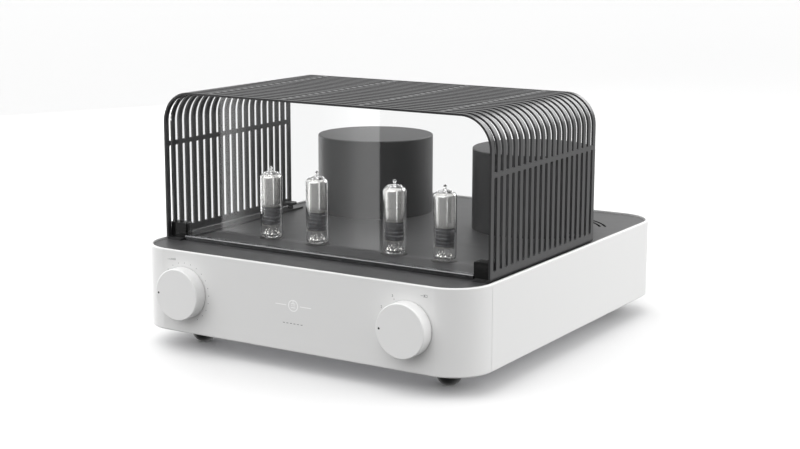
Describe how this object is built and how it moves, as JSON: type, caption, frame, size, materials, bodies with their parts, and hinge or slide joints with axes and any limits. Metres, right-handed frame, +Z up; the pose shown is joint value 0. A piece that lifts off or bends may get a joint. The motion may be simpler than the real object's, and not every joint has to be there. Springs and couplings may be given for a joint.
{
  "type": "tube amplifier",
  "caption": "Low white casing with rounded corners, dark deck, noval tubes behind a clear pane, round transformer cans and a slotted bent-sheet cage",
  "frame": {"origin": "on the supporting surface, under the centre of the casing", "axes": "+X across the front to the right, +Y from the front panel to the rear, +Z up"},
  "size_m": [0.34, 0.3956, 0.2224],
  "materials": {
    "white_casing": "matte powder coat",
    "dark_deck": "satin powder coat",
    "can_enamel": "satin enamel",
    "cage_coat": "satin powder coat on steel",
    "pane_glass": "clear, polished edges",
    "clamp_black": "gloss moulded",
    "knob_white": "matte white anodised and painted",
    "marker_dark": "enamel filled",
    "steel": "machined",
    "black_steel": "black oxide",
    "zinc_plate": "zinc plated sheet",
    "rubber": "soft moulded",
    "tube_glass": "blown, clear",
    "electrode_metal": "carbonised nickel with mica discs",
    "pin_metal": "nickel wire",
    "socket_phenolic": "moulded black phenolic",
    "copper_winding": "lacquered copper wire and tape on an iron core",
    "board": "lacquered board",
    "capacitor_sleeve": "shrink sleeve",
    "brass": "gold plated",
    "black_plastic": "moulded",
    "red_plastic": "moulded"
  },
  "bodies": {
    "chassis": {"front_fascia": "white_casing", "rear_wrap": "white_casing", "rear_panel": "dark_deck", "top_plate": "dark_deck", "base_plate": "zinc_plate", "corner_posts": "zinc_plate", "case_screws": "black_steel", "foot_front_left": "rubber", "foot_front_right": "rubber", "foot_rear_left": "rubber", "foot_rear_right": "rubber", "volume_pot": "black_plastic", "source_switch": "black_plastic", "control_nuts": "steel", "tube_sockets": "socket_phenolic", "can_left": "can_enamel", "can_right": "can_enamel", "output_transformer_left": "copper_winding", "output_transformer_right": "copper_winding", "transformer_bolts": "steel", "mains_transformer": "copper_winding", "power_board": "board", "board_standoffs": "brass", "capacitors": "capacitor_sleeve", "tube_board": "board", "mains_inlet": "black_plastic", "inlet_pins": "brass", "rca_jacks": "brass", "speaker_posts": "brass"},
    "volume_control": {"volume_knob": "knob_white", "volume_marker": "marker_dark", "volume_shaft": "steel"},
    "source_control": {"source_knob": "knob_white", "source_marker": "marker_dark", "source_shaft": "steel"},
    "cage_frame": {"cage": "cage_coat", "glass_pane": "pane_glass", "pane_sill": "cage_coat", "pane_clamp_left": "clamp_black", "pane_clamp_right": "clamp_black"},
    "thumbscrew_left": {"thumbscrew_left": "black_steel"},
    "thumbscrew_right": {"thumbscrew_right": "black_steel"},
    "rocker": {"power_rocker": "black_plastic"},
    "fuse_carrier": {"fuse_drawer": "black_plastic"},
    "tube_1": {"tube_1_glass": "tube_glass", "tube_1_pins": "pin_metal", "tube_1_electrodes": "electrode_metal"},
    "post_cap_1": {"post_cap_1": "black_plastic"},
    "tube_2": {"tube_2_glass": "tube_glass", "tube_2_pins": "pin_metal", "tube_2_electrodes": "electrode_metal"},
    "post_cap_2": {"post_cap_2": "red_plastic"},
    "tube_3": {"tube_3_glass": "tube_glass", "tube_3_pins": "pin_metal", "tube_3_electrodes": "electrode_metal"},
    "post_cap_3": {"post_cap_3": "black_plastic"},
    "tube_4": {"tube_4_glass": "tube_glass", "tube_4_pins": "pin_metal", "tube_4_electrodes": "electrode_metal"},
    "post_cap_4": {"post_cap_4": "red_plastic"}
  },
  "joints": [
    {"name": "volume_turn", "type": "hinge", "parent": "chassis", "child": "volume_control", "pos_m": [-0.113, -0.19, 0.05435], "axis": [0, 1, 0], "range_deg": [-60, 240]},
    {"name": "source_turn", "type": "hinge", "parent": "chassis", "child": "source_control", "pos_m": [0.113, -0.19, 0.05435], "axis": [0, 1, 0], "range_deg": [0, 60]},
    {"name": "cage_lift", "type": "slide", "parent": "chassis", "child": "cage_frame", "axis": [0, 0, 1], "range_m": [0, 0.16]},
    {"name": "thumbscrew_left_turn", "type": "hinge", "parent": "cage_frame", "child": "thumbscrew_left", "pos_m": [-0.154, 0.029, 0.09], "axis": [0, 0, 1], "range_deg": [0, 1080]},
    {"name": "thumbscrew_right_turn", "type": "hinge", "parent": "cage_frame", "child": "thumbscrew_right", "pos_m": [0.154, 0.029, 0.09], "axis": [0, 0, 1], "range_deg": [0, 1080]},
    {"name": "rocker_tilt", "type": "hinge", "parent": "chassis", "child": "rocker", "pos_m": [0.111, 0.1765, 0.05435], "axis": [1, 0, 0], "range_deg": [-24, 0]},
    {"name": "fuse_pull", "type": "slide", "parent": "chassis", "child": "fuse_carrier", "axis": [0, 1, 0], "range_m": [0, 0.014]},
    {"name": "tube_1_pull", "type": "slide", "parent": "chassis", "child": "tube_1", "axis": [0, 0, 1], "range_m": [0, 0.05]},
    {"name": "tube_2_pull", "type": "slide", "parent": "chassis", "child": "tube_2", "axis": [0, 0, 1], "range_m": [0, 0.05]},
    {"name": "tube_3_pull", "type": "slide", "parent": "chassis", "child": "tube_3", "axis": [0, 0, 1], "range_m": [0, 0.05]},
    {"name": "tube_4_pull", "type": "slide", "parent": "chassis", "child": "tube_4", "axis": [0, 0, 1], "range_m": [0, 0.05]},
    {"name": "post_cap_1_turn", "type": "hinge", "parent": "chassis", "child": "post_cap_1", "pos_m": [-0.112, 0.19, 0.05435], "axis": [0, 1, 0], "range_deg": [0, 1080]},
    {"name": "post_cap_2_turn", "type": "hinge", "parent": "chassis", "child": "post_cap_2", "pos_m": [-0.09295, 0.19, 0.05435], "axis": [0, 1, 0], "range_deg": [0, 1080]},
    {"name": "post_cap_3_turn", "type": "hinge", "parent": "chassis", "child": "post_cap_3", "pos_m": [-0.062, 0.19, 0.05435], "axis": [0, 1, 0], "range_deg": [0, 1080]},
    {"name": "post_cap_4_turn", "type": "hinge", "parent": "chassis", "child": "post_cap_4", "pos_m": [-0.04295, 0.19, 0.05435], "axis": [0, 1, 0], "range_deg": [0, 1080]}
  ]
}
